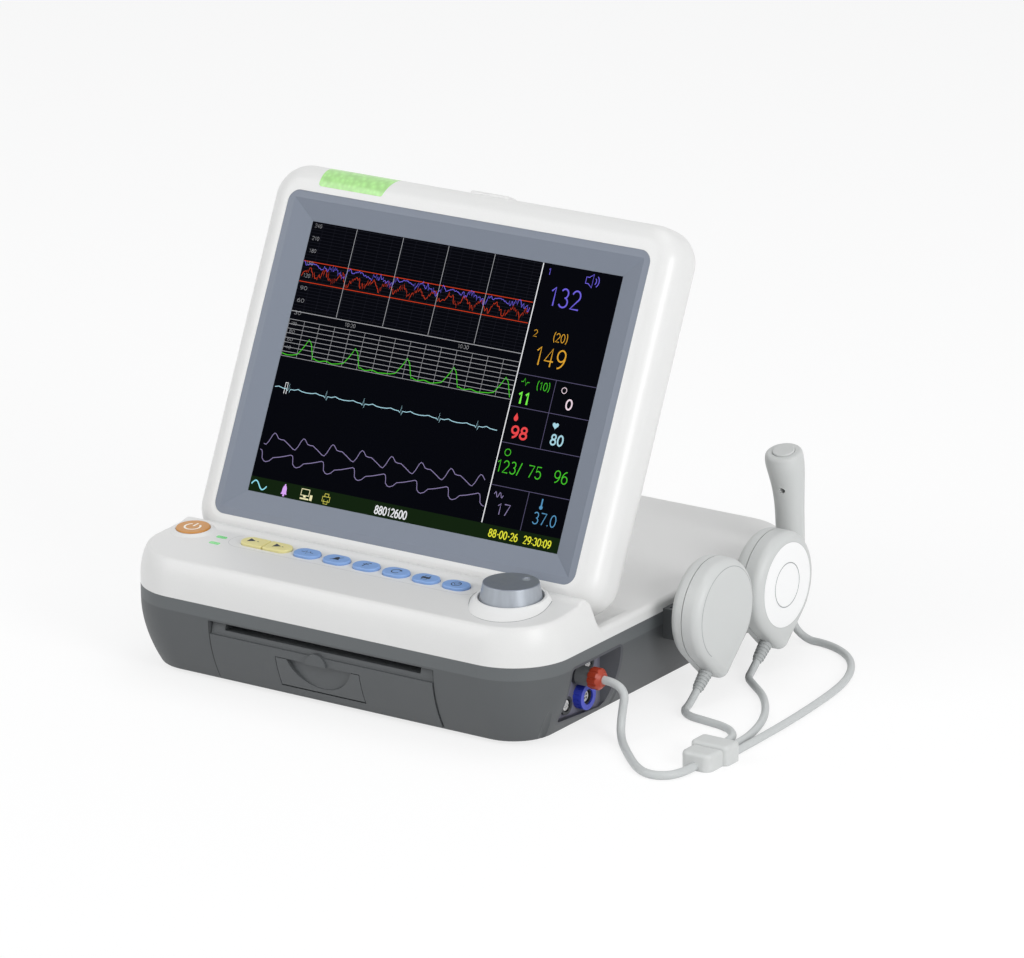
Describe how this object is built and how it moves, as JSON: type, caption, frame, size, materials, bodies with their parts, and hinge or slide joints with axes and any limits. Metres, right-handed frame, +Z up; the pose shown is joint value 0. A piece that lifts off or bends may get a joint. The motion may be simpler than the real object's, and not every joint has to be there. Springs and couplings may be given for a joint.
{
  "type": "fetal monitor",
  "caption": "Bench fetal monitor: tilting screen on a hinged trough, key console with turning knob, paper recorder drawer, socket bay, two disc transducers and event marker on cords",
  "frame": {"origin": "middle of the base's footprint, in the underside plane of the lower case at the centre of the four trolley holes, 2.5 mm above the surface", "axes": "+X user's right, +Y towards the back, +Z up; the keys face the user at -Y"},
  "size_m": [0.4385, 0.334, 0.3043],
  "materials": {
    "white_shell": "satin",
    "grey_case": "fine texture",
    "grey_trim": "fine texture",
    "bezel_blue_grey": "satin",
    "screen": "gloss",
    "lamp_green": "frosted",
    "power_orange": "satin",
    "key_yellow": "satin",
    "key_blue": "satin",
    "lens_green": "gloss",
    "knob_blue": "satin",
    "steel": "brushed",
    "rubber_black": "matt",
    "black_plastic": "satin",
    "board_green": "satin",
    "battery_wrap": "satin",
    "paper_white": "matt",
    "socket_violet_grey": "satin",
    "socket_dark": "satin",
    "socket_blue": "satin",
    "insert_white": "satin",
    "plug_grey": "satin",
    "nut_red": "satin",
    "probe_grey": "satin",
    "cord_grey": "satin"
  },
  "bodies": {
    "base": {"lower_case": "grey_case", "upper_case": "white_shell", "rubber_feet": "rubber_black", "case_screws": "steel", "battery_door": "grey_trim", "battery_pack": "battery_wrap", "speaker": "black_plastic", "circuit_boards": "board_green", "knob_collar": "white_shell", "recorder_frame": "grey_case", "power_supply": "steel", "rear_panel": "grey_trim", "mains_inlet": "black_plastic", "rear_connectors": "steel", "socket_panel": "socket_violet_grey", "grey_sockets": "socket_dark", "blue_socket": "socket_blue", "socket_inserts": "insert_white", "plug_body": "plug_grey", "plug_nut": "nut_red", "recorder_engine": "steel", "hinge_brackets": "grey_case", "indicator_lenses": "lens_green", "encoder_body": "black_plastic", "transducer_holder": "grey_trim", "transducer_1_front": "probe_grey", "transducer_2_front": "probe_grey", "transducer_backs": "probe_grey", "transducer_reliefs": "cord_grey", "marker_grip": "probe_grey", "junction_box": "probe_grey", "main_cord": "cord_grey", "transducer_1_cord": "cord_grey", "transducer_2_cord": "cord_grey", "marker_cord": "cord_grey"},
    "screen_head": {"display_front": "white_shell", "display_rear": "white_shell", "alarm_lamp": "lamp_green", "bezel": "bezel_blue_grey", "lcd_module": "screen", "hinge_pins": "steel"},
    "head_catch": {"display_catch": "white_shell"},
    "drawer": {"drawer_front": "grey_case", "paper_tray": "grey_trim", "paper_pack": "paper_white"},
    "latch": {"drawer_latch": "grey_trim"},
    "platen": {"platen_roller": "rubber_black"},
    "feed_pinion": {"drive_gear": "insert_white"},
    "knob_shaft": {"encoder_shaft": "steel"},
    "knob": {"encoder_knob": "knob_blue"},
    "marker_push": {"marker_button": "probe_grey"},
    "power_button_cap": {"power_button": "power_orange"},
    "key_yellow_1_cap": {"key_yellow_1": "key_yellow"},
    "key_yellow_2_cap": {"key_yellow_2": "key_yellow"},
    "key_blue_1_cap": {"key_blue_1": "key_blue"},
    "key_blue_2_cap": {"key_blue_2": "key_blue"},
    "key_blue_3_cap": {"key_blue_3": "key_blue"},
    "key_blue_4_cap": {"key_blue_4": "key_blue"},
    "key_blue_5_cap": {"key_blue_5": "key_blue"},
    "key_blue_6_cap": {"key_blue_6": "key_blue"}
  },
  "joints": [
    {"name": "screen_tilt", "type": "hinge", "parent": "base", "child": "screen_head", "pos_m": [0, -0.064, 0.0802], "axis": [1, 0, 0], "range_deg": [-65, 20]},
    {"name": "head_catch_push", "type": "slide", "parent": "screen_head", "child": "head_catch", "axis": [0, -0.4237, -0.9058], "range_m": [0, 0.0015], "stiffness_N_per_m": 800},
    {"name": "drawer_slide", "type": "slide", "parent": "base", "child": "drawer", "axis": [0, -1, 0], "range_m": [0, 0.095]},
    {"name": "latch_pull", "type": "hinge", "parent": "drawer", "child": "latch", "pos_m": [-0.003, -0.1566, 0.0132], "axis": [1, 0, 0], "range_deg": [0, 18], "stiffness_Nm_per_rad": 0.3},
    {"name": "platen_turn", "type": "hinge", "parent": "drawer", "child": "platen", "pos_m": [0, -0.136, 0.0355], "axis": [1, 0, 0], "continuous": true},
    {"name": "feed_pinion_turn", "type": "hinge", "parent": "base", "child": "feed_pinion", "pos_m": [0.0828, -0.121, 0.0355], "axis": [1, 0, 0], "continuous": true},
    {"name": "knob_push", "type": "slide", "parent": "base", "child": "knob_shaft", "axis": [0, 0, -1], "range_m": [0, 0.0008], "stiffness_N_per_m": 2500},
    {"name": "knob_turn", "type": "hinge", "parent": "knob_shaft", "child": "knob", "pos_m": [0.114, -0.114, 0.09], "axis": [0, 0, 1], "continuous": true},
    {"name": "marker_push_in", "type": "slide", "parent": "base", "child": "marker_push", "axis": [0, 0.2419, -0.9703], "range_m": [0, 0.002], "stiffness_N_per_m": 1000},
    {"name": "power_button_press", "type": "slide", "parent": "base", "child": "power_button_cap", "axis": [0, 0.0523, -0.9986], "range_m": [0, 0.0012], "stiffness_N_per_m": 1500},
    {"name": "key_yellow_1_press", "type": "slide", "parent": "base", "child": "key_yellow_1_cap", "axis": [0, 0.0523, -0.9986], "range_m": [0, 0.0012], "stiffness_N_per_m": 1500},
    {"name": "key_yellow_2_press", "type": "slide", "parent": "base", "child": "key_yellow_2_cap", "axis": [0, 0.0523, -0.9986], "range_m": [0, 0.0012], "stiffness_N_per_m": 1500},
    {"name": "key_blue_1_press", "type": "slide", "parent": "base", "child": "key_blue_1_cap", "axis": [0, 0.0523, -0.9986], "range_m": [0, 0.0012], "stiffness_N_per_m": 1500},
    {"name": "key_blue_2_press", "type": "slide", "parent": "base", "child": "key_blue_2_cap", "axis": [0, 0.0523, -0.9986], "range_m": [0, 0.0012], "stiffness_N_per_m": 1500},
    {"name": "key_blue_3_press", "type": "slide", "parent": "base", "child": "key_blue_3_cap", "axis": [0, 0.0523, -0.9986], "range_m": [0, 0.0012], "stiffness_N_per_m": 1500},
    {"name": "key_blue_4_press", "type": "slide", "parent": "base", "child": "key_blue_4_cap", "axis": [0, 0.0523, -0.9986], "range_m": [0, 0.0012], "stiffness_N_per_m": 1500},
    {"name": "key_blue_5_press", "type": "slide", "parent": "base", "child": "key_blue_5_cap", "axis": [0, 0.0523, -0.9986], "range_m": [0, 0.0012], "stiffness_N_per_m": 1500},
    {"name": "key_blue_6_press", "type": "slide", "parent": "base", "child": "key_blue_6_cap", "axis": [0, 0.0523, -0.9986], "range_m": [0, 0.0012], "stiffness_N_per_m": 1500}
  ],
  "couplings": [
    {"joint": "feed_pinion_turn", "follows": "platen_turn", "ratio": -1.5}
  ]
}
